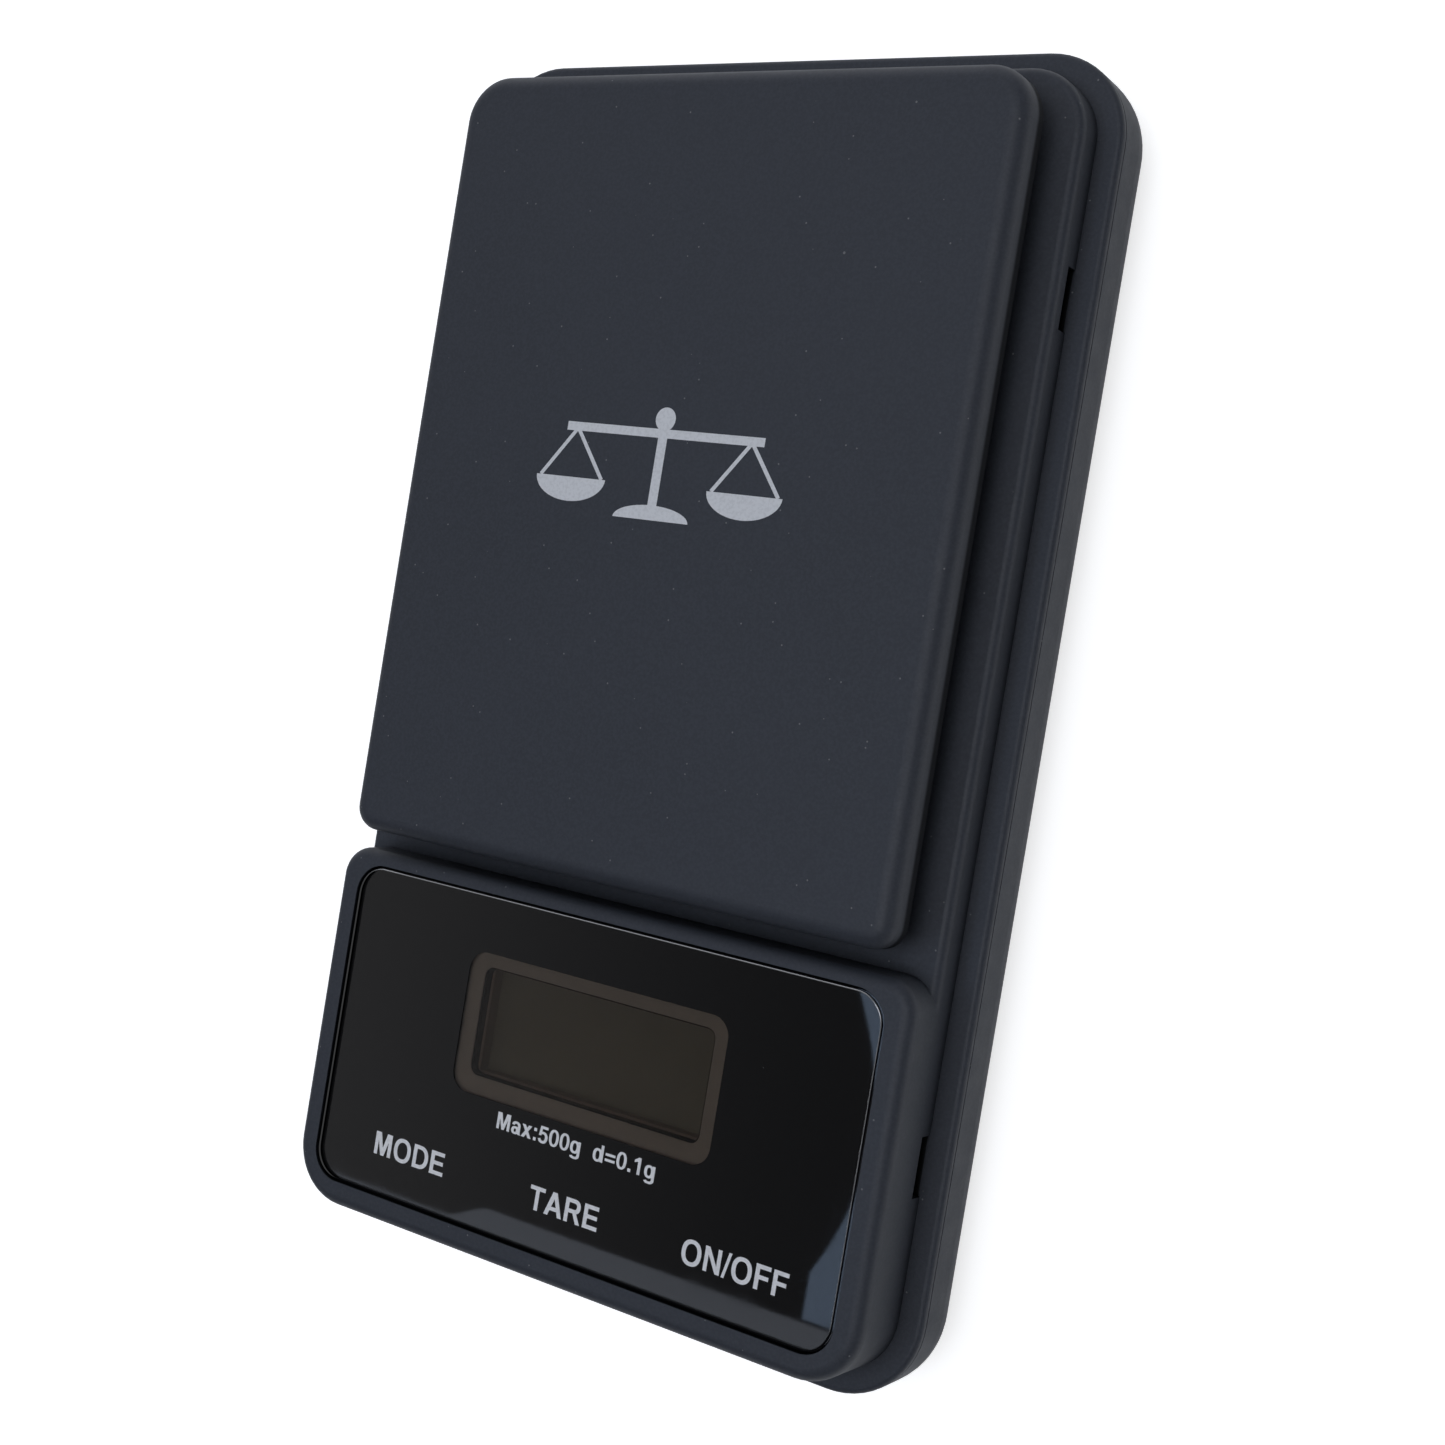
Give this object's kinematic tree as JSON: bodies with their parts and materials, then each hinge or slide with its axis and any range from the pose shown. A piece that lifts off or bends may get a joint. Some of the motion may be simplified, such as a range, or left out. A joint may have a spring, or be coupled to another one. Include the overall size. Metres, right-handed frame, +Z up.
{
  "type": "digital pocket gram scale",
  "caption": "Flat pocket scale with a raised weighing tray, a glossy display panel with film keys, rubber feet and a hinged battery door underneath.",
  "frame": {"origin": "centre of the rectangle the scale stands on, in the plane of the rubber feet", "axes": "+Z up out of the tray, +Y from the display towards the tray end, +X to the right of someone reading the display"},
  "size_m": [0.077, 0.1312, 0.0206],
  "materials": {
    "shell_plastic": "fine matt texture, soft-touch charcoal",
    "overlay_gloss": "mirror gloss, clear window over the display",
    "adhesive_film": "thin pale double-sided tape",
    "frame_plastic": "moulded plastic",
    "lcd_glass": "grey-green reflective liquid crystal cell",
    "zebra_rubber": "striped elastomer connector",
    "board_laminate": "green solder mask",
    "chip_plastic": "moulded epoxy",
    "switch_body": "stamped switch shells",
    "switch_plastic": "moulded plunger",
    "screw_steel": "zinc plated",
    "brass_screw": "turned",
    "load_cell_aluminium": "milled",
    "gauge_film": "polyimide foil",
    "wire_insulation": "soft insulation",
    "spring_steel": "nickel plated",
    "cell_label": "shrink label over a steel can",
    "foot_rubber": "soft rubber"
  },
  "bodies": {
    "housing": {"aaa_cells": "cell_label", "battery_contact_plates": "spring_steel", "battery_springs": "spring_steel", "battery_wires": "wire_insulation", "board_components": "chip_plastic", "board_screws": "screw_steel", "bottom_housing": "shell_plastic", "circuit_board": "board_laminate", "front_overlay": "overlay_gloss", "housing_screws": "screw_steel", "lcd_display": "lcd_glass", "lcd_frame": "frame_plastic", "load_cell": "load_cell_aluminium", "load_cell_base_screws": "screw_steel", "load_cell_wires": "wire_insulation", "overlay_adhesive": "adhesive_film", "overload_stop_screw": "brass_screw", "rubber_feet": "foot_rubber", "strain_gauges": "gauge_film", "tact_switch_bodies": "switch_body", "top_housing": "shell_plastic", "zebra_strips": "zebra_rubber"},
    "platform": {"weighing_tray": "shell_plastic", "platform_carrier": "frame_plastic", "platform_screws": "screw_steel"},
    "mode_button": {"mode_key": "frame_plastic", "mode_switch_stem": "switch_plastic"},
    "tare_button": {"tare_key": "frame_plastic", "tare_switch_stem": "switch_plastic"},
    "power_button": {"power_key": "frame_plastic", "power_switch_stem": "switch_plastic"},
    "door": {"battery_door": "shell_plastic"}
  },
  "joints": [
    {"name": "tray_deflection", "type": "slide", "parent": "housing", "child": "platform", "axis": [0, 0, -1], "range_m": [0, 0.00035], "deforming": ["load_cell"]},
    {"name": "mode_press", "type": "slide", "parent": "housing", "child": "mode_button", "axis": [0, 0, -1], "range_m": [0, 0.0003]},
    {"name": "tare_press", "type": "slide", "parent": "housing", "child": "tare_button", "axis": [0, 0, -1], "range_m": [0, 0.0003]},
    {"name": "power_press", "type": "slide", "parent": "housing", "child": "power_button", "axis": [0, 0, -1], "range_m": [0, 0.0003]},
    {"name": "battery_door_hinge", "type": "hinge", "parent": "housing", "child": "door", "pos_m": [0, -0.02035, 0.0018], "axis": [-1, 0, 0], "range_deg": [0, 95]}
  ]
}
